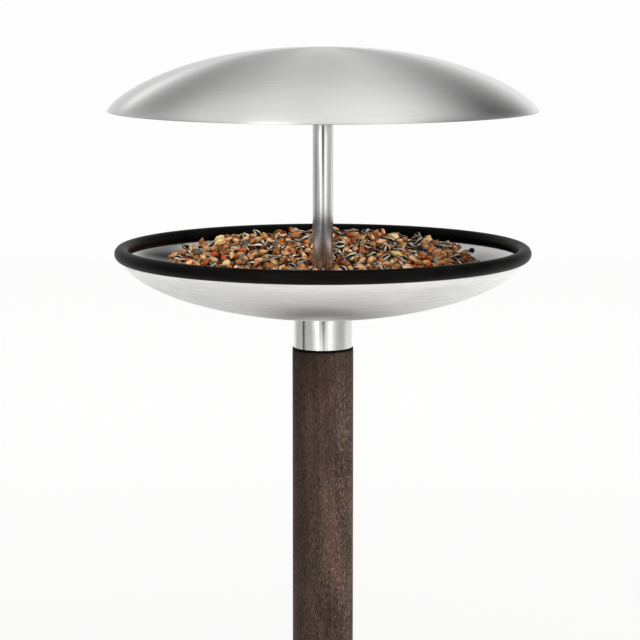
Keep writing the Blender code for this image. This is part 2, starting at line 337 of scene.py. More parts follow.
def darkWood(look):
    # the grain runs up the pole: growth rings round a pith beside it, fine fibres and open pores
    material, s = newMaterial("darkWood", {"Specular IOR Level": look["specular"]})
    x, y, z = objectPlace(s)[1:]

    def streaks(layer, x, y):
        across, up, shift, detail, roughness = woodStreaks[layer]
        return s.noise(s.vector(x * across + shift, y * across, z * up), detail, roughness)

    curl = streaks("curl", x, y) * look["curl"]
    curledX, curledY = x + curl, y + curl
    fibre = streaks("fibres", curledX, curledY)
    figure = streaks("figure", x, y)
    far = ((x - look["pith"][0]) ** 2 + (y - look["pith"][1]) ** 2) ** 0.5
    rings = s.maths("SINE", (far + streaks("sway", x, y) * look["sway"]) * look["rings"]) * 0.5 + 0.5
    pores = streaks("pores", curledX, curledY) + (streaks("poreBands", x, y) - 0.5) * look["poreBanding"]
    pore = pores.between(*look["poreEdge"])
    # more pale flecks towards the pole's right side
    fleckRightward = (x * look["fleckLean"] + figure).between(0.35, 1.0)
    fleck = streaks("flecks", x, y).between(*look["fleckEdge"]) * (fleckRightward * 0.75 + 0.2)
    # each layer's share in the tone, the colours, the roughness and the relief
    tone = (rings * 0.25 + fibre * 0.85 + figure * 0.5 - 0.32).limit()
    colour = s.blend(tone, look["dark"], look["light"])
    colour = s.blend(figure.between(0.5, 0.62) * 0.5, colour, look["warm"])
    colour = s.blend(figure.between(0.5, 0.36) * 0.5, colour, look["cool"])
    colour = s.blend(fleck * 0.6, colour, look["fleck"])
    colour = s.blend(pore * 0.8, colour, look["pore"])
    # painted shade: the pole darkens towards its upper end, as the bowl's shade over it
    colour = s.blend(z.between(*look["paintedTopShadeBand"]) * 0.55, colour, look["paintedTopShade"])
    rough = look["roughness"] + (fibre - 0.5) * 0.25 + pore * 0.15
    height = fibre * 0.5 + fleck * 0.2 - pore * 0.9
    return feed(material, colour, rough, s.bump(height, look["bump"], look["relief"]))


woodLook = {
    "pith": (0.06, 0.045),
    "rings": 1250,
    "sway": 0.012,
    "curl": 0.0022,
    "poreEdge": (0.53, 0.60),
    "poreBanding": 0.3,
    "fleckEdge": (0.54, 0.70),
    "fleckLean": 0.5 / 0.021,  # more flecks on the pole's right side
    "dark": (0.024, 0.014, 0.009),
    "light": (0.094, 0.058, 0.045),
    "warm": (0.092, 0.048, 0.032),
    "cool": (0.036, 0.024, 0.022),
    "fleck": (0.32, 0.25, 0.22),
    "pore": (0.008, 0.005, 0.004),
    # painted shade under the bowl: its colour, and where it starts and is full
    "paintedTopShade": (0.022, 0.013, 0.009),  # darker towards the pole's upper end
    "paintedTopShadeBand": (0.845, 0.905),
    "roughness": 0.58,
    "specular": 0.12,
    "bump": 0.6,
    "relief": 0.0004,
}
# How fine each layer is across the pole and up it, its shift, and the noise's detail and roughness
woodStreaks = {
    "sway": (14, 4.5, 0, 2, 0.5),
    "curl": (90, 34, 0, 2, 0.5),
    "fibres": (1150, 57.5, 0, 4, 0.62),
    "figure": (45, 16, 0, 3, 0.55),
    "pores": (2300, 299, 0, 1.5, 0.5),
    "poreBands": (75, 20, 0, 2, 0.5),
    "flecks": (1300, 420, 3, 2, 0.5),
}


# Modelling helpers
mergeDistance = 0.000002
startSize = 0.002  # of the plane that is merged into an outline's first point


def deselectAll():
    bpy.ops.object.select_all(action="DESELECT")


def pick(piece):
    deselectAll()
    piece.select_set(True)
    bpy.context.view_layer.objects.active = piece


def mergeAll():
    bpy.ops.mesh.select_all(action="SELECT")
    bpy.ops.mesh.remove_doubles(threshold=mergeDistance)


def leaveEdit():
    # turns all faces outwards first
    bpy.ops.mesh.select_all(action="SELECT")
    bpy.ops.mesh.normals_make_consistent(inside=False)
    bpy.ops.object.mode_set(mode="OBJECT")


def drawLine(name, points, lift=0.0):
    # extrudes one point along the others, which are (radius, height), and stays in edit mode
    deselectAll()
    bpy.ops.mesh.primitive_plane_add(size=startSize)
    line = bpy.context.object
    line.name = line.data.name = name
    bpy.ops.object.mode_set(mode="EDIT")
    bpy.ops.mesh.merge(type="CENTER")
    bpy.ops.transform.translate(value=(points[0][0], 0, points[0][1] + lift))
    for (radius, height), (nextRadius, nextHeight) in zip(points, points[1:]):
        step = (nextRadius - radius, 0, nextHeight - height)
        bpy.ops.mesh.extrude_region_move(TRANSFORM_OT_translate={"value": step})
    mergeAll()
    return line


def turnOutline(name, outline, turns):
    # spins an outline round the axis into a closed solid
    points = list(outline)
    if outline[0][0] > 0:
        points.append(outline[0])
    piece = drawLine(name, points)
    bpy.ops.mesh.spin(steps=turns, angle=math.tau, use_auto_merge=True, center=(0, 0, 0), axis=(0, 0, 1))
    mergeAll()
    leaveEdit()
    return piece


def ringOutline(bore, low, high):
    return [(bore, low.z), (high.x, low.z), (high.x, high.z), (bore, high.z)]


def chamferedOutline(bore, low, high, chamfer):
    # a ring, or a rod where the bore is 0, with its outer edges chamfered
    return [
        (bore, low.z),
        (high.x - chamfer, low.z),
        (high.x, low.z + chamfer),
        (high.x, high.z - chamfer),
        (high.x - chamfer, high.z),
        (bore, high.z),
    ]


def applyModifier(piece, kind, **settings):
    pick(piece)
    modifier = piece.modifiers.new(kind, kind)
    for name, value in settings.items():
        setattr(modifier, name, value)
    bpy.ops.object.modifier_apply(modifier=modifier.name)


def roundEdges(piece, width, segments=3):
    limit = math.radians(50)
    applyModifier(piece, "BEVEL", width=width, segments=segments, limit_method="ANGLE", angle_limit=limit)


def finishPiece(piece, material, body, slot, *replaced, angle=32):
    pick(piece)
    bpy.ops.object.shade_smooth_by_angle(angle=math.radians(angle))
    piece.data.materials.clear()
    piece.data.materials.append(material)
    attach(piece, body)
    if replaced:
        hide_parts(*replaced)
    print("made", piece.name, "with", len(piece.data.polygons), "faces")


def arcPoints(centre, radius, start, end, steps):
    angles = [math.radians(start + (end - start) * i / steps) for i in range(steps + 1)]
    return [(centre[0] + radius * math.cos(a), centre[1] + radius * math.sin(a)) for a in angles]


def spunCurve(radius, depth, form):
    # a spun sheet's outline, from its flat centre at height 0 out to its rim at height depth
    points = []
    for i in range(form["steps"] + 1):
        a = math.pi / 2 * (1 - (1 - i / form["steps"]) ** form["crowding"])
        out = form["flat"] + (radius - form["flat"]) * math.sin(a) ** (2 / form["belly"])
        points.append((out, depth * (1 - max(math.cos(a), 0) ** (2 * form["shoulder"]))))
    return points


def innerCurve(curve, wall):
    # the same curve on the sheet's inner side, which ends level with the rim
    rimRadius, rim = curve[-1]
    moved = [(curve[0][0], curve[0][1] + wall)]
    for before, (radius, height), after in zip(curve, curve[1:], curve[2:]):
        run, rise = after[0] - before[0], after[1] - before[1]
        size = math.hypot(run, rise)
        inward = (radius - wall * rise / size, height + wall * run / size)
        if inward[1] < rim - wall / 4:
            moved.append(inward)
    return [*moved, (rimRadius - wall, rim)]


threadForm = {
    # shares of the pitch: half the groove's width at its mouth and root, and how far the cutter stands out
    "mouth": 0.43,
    "root": 0.12,
    "beyond": 0.4,
    "steps": 40,
    "lead": 0.002,  # how far the cutter runs past an open end
    "plain": 0.0012,  # between a shoulder and where its thread starts
}


def cutThread(piece, radius, depth, pitch, low, high):
    # takes a thread's groove out of a screw, or out of a bore where the depth is below 0
    root, wide, narrow = radius - depth, pitch * threadForm["mouth"], pitch * threadForm["root"]
    beyond = radius + math.copysign(threadForm["beyond"] * pitch, depth)
    section = [
        (root, -narrow),
        (root, narrow),
        (radius, wide),
        (beyond, wide),
        (beyond, -wide),
        (radius, -wide),
    ]
    cutter = drawLine("threadCutter", [*section, section[0]], low)
    bpy.ops.object.mode_set(mode="OBJECT")
    turns, steps = math.ceil((high - low) / pitch), threadForm["steps"]
    helix = {"axis": "Z", "angle": math.tau, "screw_offset": pitch, "iterations": turns}
    applyModifier(cutter, "SCREW", **helix, steps=steps, render_steps=steps, use_merge_vertices=False)
    bpy.ops.object.mode_set(mode="EDIT")
    mergeAll()
    bpy.ops.mesh.fill_holes(sides=len(section))
    leaveEdit()
    applyModifier(piece, "BOOLEAN", operation="DIFFERENCE", solver="EXACT", object=cutter)
    bpy.data.objects.remove(cutter, do_unlink=True)


def cutBore(piece, form, low, high):
    # a thread all through a bore
    start, end = low.z - threadForm["lead"], high.z + threadForm["lead"]
    cutThread(piece, form["bore"], -form["grooveDepth"], form["pitch"], start, end)


# Roof
roofForm = {
    "wall": 0.001,
    "flat": 0.01,
    "belly": 2.09,
    "shoulder": 0.749,
    "crowding": 1.5,
    "steps": 80,
    "turns": 288,
    "edgeRound": 0.0003,
}


def makeRoof(steel, rimShade):
    low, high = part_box("roof")
    curve = spunCurve(high.x, high.z - low.z, roofForm)
    sheet = [(0, 0), *curve, *reversed(innerCurve(curve, roofForm["wall"])), (0, roofForm["wall"])]
    piece = turnOutline("roofDome", [(radius, high.z - drop) for radius, drop in sheet], roofForm["turns"])
    roundEdges(piece, roofForm["edgeRound"])
    finishPiece(piece, steel, "roof", "brushed_sheet", "roof")
    # the rim's rounded edge takes the painted shade line
    piece.data.materials.append(rimShade)
    for face in piece.data.polygons:
        if face.center.z < low.z + roofForm["edgeRound"]:
            face.material_index = 1


bossForm = {
    "bore": 0.0043,
    "boreDepth": 0.0081,
    "mouth": 0.0006,
    "edgeRound": 0.0003,
    "pitch": 0.00125,
    "grooveDepth": 0.0005,
    "lead": 0.001,  # how far under the boss the thread's cutter starts
    "runOut": 0.0015,  # and how far short of the bore's end it stops
    "turns": 72,
}


def makeBoss(steel):
    low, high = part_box("roof_boss")
    bore, depth, mouth = bossForm["bore"], low.z + bossForm["boreDepth"], bossForm["mouth"]
    outline = [
        (0, depth),
        (bore, depth),
        (bore, low.z + mouth),
        (bore + mouth, low.z),
        (high.x, low.z),
        (high.x, high.z),
        (0, high.z),
    ]
    piece = turnOutline("threadedBoss", outline, bossForm["turns"])
    roundEdges(piece, bossForm["edgeRound"])
    start, end = low.z - bossForm["lead"], depth - bossForm["runOut"]
    cutThread(piece, bore, -bossForm["grooveDepth"], bossForm["pitch"], start, end)
    finishPiece(piece, steel, "roof", "turned_steel", "roof_boss")


# Bowl and its perch ring
bowlForm = {
    "wall": 0.001,
    "flat": 0.008,
    "belly": 1.62,
    "shoulder": 0.51,
    "crowding": 1.5,
    "steps": 80,
    "turns": 288,
    "hole": 0.0053,
    "bite": 0.001,  # how far the rim goes past the middle of the ring
    "edgeRound": 0.0002,
}
ringForm = {"section": 0.005, "gap": 0.0003, "sectionSteps": 44, "turns": 288}


def bowlShape():
    # the bowl's radius, its depth under the ring's plane and the height of its bottom
    low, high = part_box("bowl")
    return high.x, high.z - low.z - bowlForm["bite"], low.z


def makeBowl(outside, inside):
    radius, depth, bottom = bowlShape()
    curve = spunCurve(radius, depth, bowlForm)
    inner = innerCurve(curve, bowlForm["wall"])
    hole, lip = bowlForm["hole"], depth + bowlForm["bite"]
    outline = [(hole, 0), *curve, (curve[-1][0], lip), (inner[-1][0], lip), *reversed(inner)]
    outline.append((hole, bowlForm["wall"]))
    piece = turnOutline("spunBowl", [(r, bottom + z) for r, z in outline], bowlForm["turns"])
    roundEdges(piece, bowlForm["edgeRound"], 2)
    finishPiece(piece, outside, "bowl", "brushed_sheet", "bowl")
    piece.data.materials.append(inside)
    for face in piece.data.polygons:
        # the inner side looks towards the axis, and in the middle straight up
        outward = face.normal.x * face.center.x + face.normal.y * face.center.y
        if outward < 0 or (face.normal.z > 0.99 and face.center.z > bottom + bowlForm["wall"] / 2):
            face.material_index = 1


def bowlRadiusAt(drop, radius, depth):
    level = (max(drop, 0) / depth) ** (1 / (2 * bowlForm["shoulder"]))
    flat = bowlForm["flat"]
    return flat + (radius - flat) * math.sqrt(1 - level**2) ** (2 / bowlForm["belly"])


def makeRing(material):
    bowlRadius, depth, bottom = bowlShape()
    plane = bottom + depth
    radius, wall, gap = ringForm["section"], bowlForm["wall"], ringForm["gap"]
    middle = bowlRadius - wall / 2

    def side(drop, offset):
        return bowlRadiusAt(drop, bowlRadius, depth) + offset, plane - drop

    def mouth(offset):
        # where a side of the slit comes out of the round section
        drop = radius
        for _ in range(20):
            across = side(drop, offset)[0] - middle
            drop = math.sqrt(radius**2 - across**2)
        return math.degrees(math.atan2(-drop, across))

    outer, inner, top = gap, -wall - gap, -bowlForm["bite"] - gap
    shares = (0, 0.2, 0.4, 0.6, 0.8)  # of the section's radius, down the slit
    outline = arcPoints((middle, plane), radius, mouth(outer), mouth(inner) + 360, ringForm["sectionSteps"])
    outline += [side(radius * share, inner) for share in reversed(shares)]
    outline += [side(top, inner), side(top, outer)]
    outline += [side(radius * share, outer) for share in shares]
    piece = turnOutline("perchRing", outline, ringForm["turns"])
    finishPiece(piece, material, "bowl", "perch_rubber", "rim_ring", angle=40)


# Rod between bowl and roof
rodForm = {
    "wall": 0.0015,
    "shoulder": 0.003,
    "spigot": 0.018,
    "gap": 0.0003,
    "edgeRound": 0.0002,
    "chamfer": 0.0007,
    "turns": 96,
}
screwForms = {
    "upper": {"radius": 0.004, "pitch": 0.00125, "depth": 0.00075},
    "lower": {"radius": 0.005, "pitch": 0.0015, "depth": 0.0009},
}


def makeRodTube(steel):
    low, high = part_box("rod_tube")
    piece = turnOutline("rodTube", ringOutline(high.x - rodForm["wall"], low, high), rodForm["turns"])
    roundEdges(piece, rodForm["edgeRound"])
    finishPiece(piece, steel, "canopy", "brushed_tube", "rod_tube")


def makePlug(name, node, screw, upwards, steel):
    # a spigot in the tube, a shoulder across its end and a screw beyond
    low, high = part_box(node)
    length = high.z - low.z
    spigot = high.x - rodForm["wall"] - rodForm["gap"]
    face = rodForm["spigot"] + rodForm["gap"]
    shoulder, chamfer = face + rodForm["shoulder"], rodForm["chamfer"]
    outline = [
        (0, 0),
        (spigot, 0),
        (spigot, face),
        (high.x, face),
        (high.x, shoulder),
        (screw["radius"], shoulder),
        (screw["radius"], length - chamfer),
        (screw["radius"] - chamfer, length),
        (0, length),
    ]
    start, end = low.z + shoulder + threadForm["plain"], high.z + screw["pitch"]
    if not upwards:
        outline = [(radius, length - height) for radius, height in outline]
        start, end = low.z - screw["pitch"], high.z - shoulder - threadForm["plain"]
    piece = turnOutline(name, [(radius, low.z + height) for radius, height in outline], rodForm["turns"])
    roundEdges(piece, rodForm["edgeRound"], 2)
    cutThread(piece, screw["radius"], screw["depth"], screw["pitch"], start, end)
    finishPiece(piece, steel, "canopy", "turned_steel", node)


# Washers, flat rings with a soft edge: each one's node, bore, edge, body and slot
washers = {
    "roofWasher": ("roof_washer", 0.0043, 0.0002, "roof_seat", "washer_rubber"),
    "bowlSeal": ("bowl_seal", 0.0053, 0.0002, "clamp", "washer_rubber"),
    "clampWasher": ("clamp_washer", 0.0053, 0.0003, "clamp", "turned_steel"),
    "bowlGasket": ("bowl_gasket", 0.0053, 0.0002, "stand", "washer_rubber"),
    "poleWasher": ("pole_washer", 0.0053, 0.0001, "stand", "washer_rubber"),
    "footWasher": ("foot_washer", 0.0053, 0.0001, "stand", "washer_rubber"),
}
washerTurns = 128


def makeWashers(materials):
    for name, (node, bore, edge, body, slot) in washers.items():
        piece = turnOutline(name, ringOutline(bore, *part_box(node)), washerTurns)
        roundEdges(piece, edge)
        finishPiece(piece, materials[slot], body, slot, node)


# Collar, hub and stud
collarForm = {
    "wall": 0.0015,
    "lid": 0.003,
    "lip": 0.0018,  # the rim that stands up round the gasket
    "seat": 0.0178,
    "topRound": 0.0005,
    "footBevel": 0.0005,
    "hole": 0.0053,
    "turns": 192,
}
hubForm = {
    "bore": 0.0053,
    "flange": 0.003,
    "body": 0.009,
    "edgeRound": 0.0003,
    "grooveDepth": 0.0006,
    "pitch": 0.0015,
    "turns": 72,
}
studTurns = 64


def makeCollar(steel):
    low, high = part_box("collar")
    radius, wall, edge, bevel = high.x, collarForm["wall"], collarForm["topRound"], collarForm["footBevel"]
    under, top = high.z - collarForm["lid"], high.z + collarForm["lip"]
    outline = [
        (radius - wall, low.z),
        (radius - bevel, low.z),
        (radius, low.z + bevel),
        *arcPoints((radius - edge, top - edge), edge, 0, 90, 8),
        (collarForm["seat"], top),
        (collarForm["seat"], high.z),
        (collarForm["hole"], high.z),
        (collarForm["hole"], under),
        (radius - wall, under),
    ]
    piece = turnOutline("collarCap", outline, collarForm["turns"])
    finishPiece(piece, steel, "stand", "brushed_tube", "collar")


def makeHub(steel):
    low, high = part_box("collar_hub")
    flange = low.z + hubForm["flange"]
    outline = [
        (hubForm["bore"], low.z),
        (high.x, low.z),
        (high.x, flange),
        (hubForm["body"], flange),
        (hubForm["body"], high.z),
        (hubForm["bore"], high.z),
    ]
    piece = turnOutline("collarHub", outline, hubForm["turns"])
    roundEdges(piece, hubForm["edgeRound"])
    cutBore(piece, hubForm, low, high)
    finishPiece(piece, steel, "stand", "turned_steel", "collar_hub")


def makeStud(zinc):
    low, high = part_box("collar_stud")
    screw, lead = screwForms["lower"], threadForm["lead"]
    piece = turnOutline("collarStud", chamferedOutline(0, low, high, rodForm["chamfer"]), studTurns)
    cutThread(piece, high.x, screw["depth"], screw["pitch"], low.z - lead, high.z + lead)
    finishPiece(piece, zinc, "stand", "zinc_steel", "collar_stud")


# Pole, inserts, stop plate and ground spike
poleForm = {"bore": 0.0083, "boreDepth": 0.0256, "edgeRound": 0.0009, "lengths": 12, "turns": 160}
insertForm = {
    "bore": 0.0053,
    "grooveDepth": 0.0006,
    "pitch": 0.0015,
    "ribs": 9,
    "ribDepth": 0.0004,
    "ribRise": 0.0004,
    "ribWidth": 0.0018,
    "plainEnd": 0.002,
    "turns": 64,
}
plateForm = {"bore": 0.0073, "bevel": 0.001, "edgeRound": 0.0003, "turns": 128}
spikeForm = {
    "bar": 0.007,
    "screw": 0.005,
    "point": 0.045,
    "pointBend": (0.0002, 0.001),  # how far in and down the point's flank starts from the bar
    "tip": 0.0006,
    "barTop": 0.004,
    "turns": 72,
}


def makePole(wood):
    low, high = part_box("pole")
    bore, deep, lengths = poleForm["bore"], poleForm["boreDepth"], poleForm["lengths"]
    heights = [high.z - (high.z - low.z) * i / lengths for i in range(lengths - 1, 0, -1)]
    outline = [
        (0, low.z + deep),
        (bore, low.z + deep),
        (bore, low.z),
        (high.x, low.z),
        *[(high.x, height) for height in heights],
        (high.x, high.z),
        (bore, high.z),
        (bore, high.z - deep),
        (0, high.z - deep),
    ]
    piece = turnOutline("woodenPole", outline, poleForm["turns"])
    roundEdges(piece, poleForm["edgeRound"], 4)
    finishPiece(piece, wood, "stand", "stained_wood", "pole")


def makeInserts(brass):
    bore, ribs, plain = insertForm["bore"], insertForm["ribs"], insertForm["plainEnd"]
    for name, node in (("footInsert", "foot_insert"), ("topInsert", "top_insert")):
        low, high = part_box(node)
        valley = high.x - insertForm["ribDepth"]
        outline = [(bore, low.z), (valley, low.z)]
        for i in range(ribs):
            base = low.z + plain + (high.z - low.z - 2 * plain) * i / ribs
            crest, end = base + insertForm["ribRise"], base + insertForm["ribWidth"]
            outline += [(valley, base), (high.x, crest), (valley, end)]
        outline += [(valley, high.z), (bore, high.z)]
        piece = turnOutline(name, outline, insertForm["turns"])
        cutBore(piece, insertForm, low, high)
        finishPiece(piece, brass, "stand", "insert_brass", node)


def makeStopPlate(zinc):
    outline = chamferedOutline(plateForm["bore"], *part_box("stop_plate"), plateForm["bevel"])
    piece = turnOutline("stopPlate", outline, plateForm["turns"])
    roundEdges(piece, plateForm["edgeRound"], 2)
    finishPiece(piece, zinc, "stand", "zinc_steel", "stop_plate")


def makeSpike(zinc):
    low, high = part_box("ground_spike")
    bar, screw, tip, barTop = (spikeForm[name] for name in ("bar", "screw", "tip", "barTop"))
    bendIn, bendDown = spikeForm["pointBend"]
    chamfer, thread = rodForm["chamfer"], screwForms["lower"]
    outline = [
        (0, low.z),
        *arcPoints((0, low.z + tip), tip, -60, -20, 3),
        (bar - bendIn, low.z + spikeForm["point"] - bendDown),
        (bar, low.z + spikeForm["point"]),
        (bar, barTop),
        (screw, barTop),
        (screw, high.z - chamfer),
        (screw - chamfer, high.z),
        (0, high.z),
    ]
    piece = turnOutline("groundSpike", outline, spikeForm["turns"])
    start, end = barTop + threadForm["plain"], high.z + threadForm["lead"]
    cutThread(piece, screw, thread["depth"], thread["pitch"], start, end)
    finishPiece(piece, zinc, "stand", "zinc_steel", "ground_spike")


# Seed in the bowl. Each kind is modelled once and laid many times, one grain on another.
heap = {
    "frontDrop": 0.017,  # from the ring's plane down to the seed in front
    "backRise": 0.0145,  # from there up to the seed at the back
    "bankFoot": -0.024,  # where the rise starts, from the rod towards the back
    "bankTop": 0.104,
    "sideFall": 0.0113,  # from the middle to the bowl's sides
    "above": 0.0018,  # the loose grains' tops over that
    "lumps": 0.0012,
    "reach": 0.1345,  # from the rod to the outermost grain's middle
    "skin": 0.0085,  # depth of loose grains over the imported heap
    "rodClear": 0.0079,
    "hollow": (0.0152, 0.0148),  # radius and height of the space over the clamp washer
    "seed": 7,
}
laying = {
    "cell": 0.0008,  # of the height maps
    "mapReach": 0.146,
    "pastRim": 0.03,  # the maps' height outside the bowl
    "rodTop": 0.2,  # and where the rod stands
    "sizes": (0.86, 1.12),  # the smallest and largest share of a kind's size
    "tries": 60,  # places looked at for each grain
    "leastRoom": 0.15,  # that a grain needs, as a share of its thickness
    "footing": 0.35,  # how far round it a grain feels the slope, as a share of its length
    "follows": 0.8,  # how much of that slope it takes
    "steepest": 0.9,
    "tilt": 0.36,
    "crest": 0.2,  # the share of its thickness that counts as its top
    "standsOut": 0.0032,  # how far that may stand out of the heap
}
grainKinds = {
    # length, width, thickness in metres; how many; taper of one end; sides and rings of its mesh
    "sunflowerSeed": {"size": (0.0119, 0.0072, 0.0048), "count": 1120, "taper": 0.42, "mesh": (10, 7)},
    "maizeBit": {"size": (0.0120, 0.0074, 0.0050), "count": 130, "taper": 0.72, "mesh": (8, 6)},
    "wheatGrain": {"size": (0.0084, 0.0044, 0.0034), "count": 2300, "taper": 0.62, "mesh": (8, 6)},
    "redGrain": {"size": (0.0056, 0.0044, 0.0037), "count": 520, "taper": 0.8, "mesh": (8, 6)},
    "milletGrain": {"size": (0.0032, 0.0029, 0.0027), "count": 420, "taper": 0.95, "mesh": (6, 5)},
    "darkSeed": {"size": (0.0080, 0.0050, 0.0034), "count": 200, "taper": 0.5, "mesh": (8, 6)},
}
taperFrom = 0.1  # from a grain's middle, where its end is at 0.5


def modelGrain(name, kind):
    # one grain, its length along X and its thickness along Z
    sides, rings = kind["mesh"]
    deselectAll()
    bpy.ops.mesh.primitive_uv_sphere_add(segments=sides, ring_count=rings, radius=0.5)
    grain = bpy.context.object
    grain.name = name + "Model"
    bpy.ops.object.mode_set(mode="EDIT")
    bpy.ops.mesh.select_all(action="DESELECT")
    bpy.ops.object.mode_set(mode="OBJECT")
    for point in grain.data.vertices:
        point.select = point.co.z > taperFrom
    bpy.ops.object.mode_set(mode="EDIT")
    bpy.ops.transform.resize(value=(kind["taper"], kind["taper"], 1))
    bpy.ops.mesh.select_all(action="SELECT")
    bpy.ops.transform.rotate(value=math.pi / 2, orient_axis="Y", center_override=(0, 0, 0))
    bpy.ops.transform.resize(value=kind["size"])
    leaveEdit()
    return grain


def bowlWall(steps):
    # radii of the bowl's inner side, and its heights over the ring's plane
    radius, depth, bottom = bowlShape()
    curve = spunCurve(radius, depth, {**bowlForm, "steps": steps})
    wall = np.array(innerCurve(curve, bowlForm["wall"]))
    return wall[:, 0], wall[:, 1] - depth


def heapHeight(across, back, bowlRadius):
    # the seed's surface over the ring's plane
    share = np.clip((back - heap["bankFoot"]) / (heap["bankTop"] - heap["bankFoot"]), 0, 1)
    rise = heap["backRise"] * share**2 * (3 - 2 * share)
    return rise - heap["frontDrop"] - heap["sideFall"] * (across / bowlRadius) ** 2


def lumpHeight(across, back):
    # lumps about 10 mm wide, and slanting ones of 4 mm
    return np.sin(across * 310 + 1) * np.sin(back * 270) + 0.7 * np.sin(across * 610 - back * 500)


def heapMaps():
    # the places of the cells, and their heights in the finished heap and under the loose grains
    half = int(laying["mapReach"] / laying["cell"])
    line = np.arange(-half, half + 1) * laying["cell"]
    across, back = np.meshgrid(line, line, indexing="ij")
    away = np.hypot(across, back)
    wallHeight = np.interp(away, *bowlWall(bowlForm["steps"]), right=laying["pastRim"])
    goal = heapHeight(across, back, bowlShape()[0]) + heap["above"] + heap["lumps"] * lumpHeight(across, back)
    ground = np.maximum(goal - heap["skin"], wallHeight)
    ground[away < heap["rodClear"]] = laying["rodTop"]
    return across, back, goal, ground


def lieOn(patch, random):
    # the three axes of a grain that lies on this patch of ground, tilted and turned by chance
    run = (len(patch) - 1) * laying["cell"]
    rises = np.array([patch[-1].mean() - patch[0].mean(), patch[:, -1].mean() - patch[:, 0].mean()])
    lean = np.clip(-rises / run * laying["follows"], -laying["steepest"], laying["steepest"])
    normal = np.array([*(lean + random.normal(0, laying["tilt"], 2)), 1.0])
    normal /= np.linalg.norm(normal)
    spin = random.uniform(0, math.tau)
    length = np.array([math.cos(spin), math.sin(spin), 0.0])
    length -= normal * length.dot(normal)
    length /= np.linalg.norm(length)
    return np.column_stack([length, np.cross(normal, length), normal])


def grainHeights(size, axes, dx, dy):
    # the cells that an ellipsoid covers, and its lower and upper height over each
    shape = axes @ np.diag((2 / size) ** 2) @ axes.T
    a = shape[2, 2]
    b = 2 * (shape[0, 2] * dx + shape[1, 2] * dy)
    c = shape[0, 0] * dx**2 + 2 * shape[0, 1] * dx * dy + shape[1, 1] * dy**2 - 1
    inside = b**2 - 4 * a * c
    covered = inside > 0
    root = np.sqrt(np.where(covered, inside, 0))
    return covered, (-b - root) / (2 * a), (-b + root) / (2 * a)


def layGrains(plane):
    # drops grains one after the other, each where the heap lacks most, on what already lies there
    random = np.random.default_rng(heap["seed"])
    across, back, goal, ground = heapMaps()
    cell, middle, blocked = laying["cell"], len(goal) // 2, laying["rodTop"] / 2
    order = [name for name, kind in grainKinds.items() for _ in range(kind["count"])]
    random.shuffle(order)
    laid = {name: [] for name in grainKinds}
    for name in order:
        size = np.array(grainKinds[name]["size"]) * random.uniform(*laying["sizes"], 3)
        tries = random.uniform(-1, 1, (laying["tries"], 2)) * heap["reach"]
        tries = tries[np.hypot(tries[:, 0], tries[:, 1]) < heap["reach"]]
        spots = np.rint(tries / cell).astype(int) + middle
        lack = goal[spots[:, 0], spots[:, 1]] - ground[spots[:, 0], spots[:, 1]]
        i, j = spots[int(np.argmax(lack))]
        if lack.max() < size[2] * laying["leastRoom"]:
            continue
        around = max(2, int(size[0] * laying["footing"] / cell))
        patch = ground[i - around : i + around + 1, j - around : j + around + 1]
        if patch.max() > blocked:
            continue
        axes = lieOn(patch, random)
        span = int(size[0] / 2 / cell) + 1
        near = (slice(i - span, i + span + 1), slice(j - span, j + span + 1))
        covered, under, over = grainHeights(size, axes, across[near] - across[i, j], back[near] - back[i, j])
        here = ground[near]
        if not covered.any() or here[covered].max() > blocked:
            continue
        height = (here - under)[covered].max()
        if height + size[2] * laying["crest"] > goal[i, j] + laying["standsOut"]:
            continue
        ground[near] = np.where(covered, np.maximum(here, height + over), here)
        laid[name].append((across[i, j], back[i, j], plane + height, axes, size, random.uniform()))
    return laid


def joinGrains(name, kind, grain, places):
    # copies the model grain to each place, all in one mesh, with its own shade for each grain
    base = np.array([v.co for v in grain.data.vertices]) / np.array(kind["size"])
    faces = [list(face.vertices) for face in grain.data.polygons]
    uv = np.zeros(len(grain.data.loops) * 2)
    grain.data.uv_layers.active.data.foreach_get("uv", uv)
    points, allFaces, shades = [], [], []
    for number, (x, y, z, axes, size, shade) in enumerate(places):
        points.append((base * size) @ axes.T + (x, y, z))
        start = number * len(base)
        allFaces += [[start + corner for corner in face] for face in faces]
        shades += [shade] * len(base)
    mesh = bpy.data.meshes.new(name)
    mesh.from_pydata(np.concatenate(points), [], allFaces)
    mesh.uv_layers.new(name="grainMap").data.foreach_set("uv", np.tile(uv, len(places)))
    mesh.attributes.new("shade", "FLOAT", "POINT").data.foreach_set("value", shades)
    piece = bpy.data.objects.new(name, mesh)
    bpy.context.scene.collection.objects.link(piece)
    bpy.data.objects.remove(grain, do_unlink=True)
    return piece


def grainNodes(s):
    # each grain's own shade, and its map round it and along it
    shade = s.node("ShaderNodeAttribute", {"attribute_name": "shade"}, None, "Fac")
    split = s.node("ShaderNodeSeparateXYZ", None, {0: s.node("ShaderNodeUVMap", {"uv_map": "grainMap"})})
    return shade, split.out("X"), split.out("Y")


def stripedHusk(look):
    # black and pale stripes along a sunflower seed
    material, s = newMaterial("stripedHusk", {"Specular IOR Level": look["specular"]})
    shade, around = grainNodes(s)[:2]
    wobble = s.noise(objectPlace(s)[0], 2, 0.5, look["wobbles"])
    turned = around * (math.tau * look["stripes"]) + shade * look["shift"] + (wobble - 0.5) * look["wobble"]
    stripe = (s.maths("SINE", turned) + (shade - 0.5) * look["uneven"]).between(*look["stripeEdge"])
    pale = s.blend(shade, look["cream"], look["grey"])
    colour = s.blend(stripe, look["black"], pale)
    return feed(material, colour, look["roughness"] + wobble * look["roughChange"])


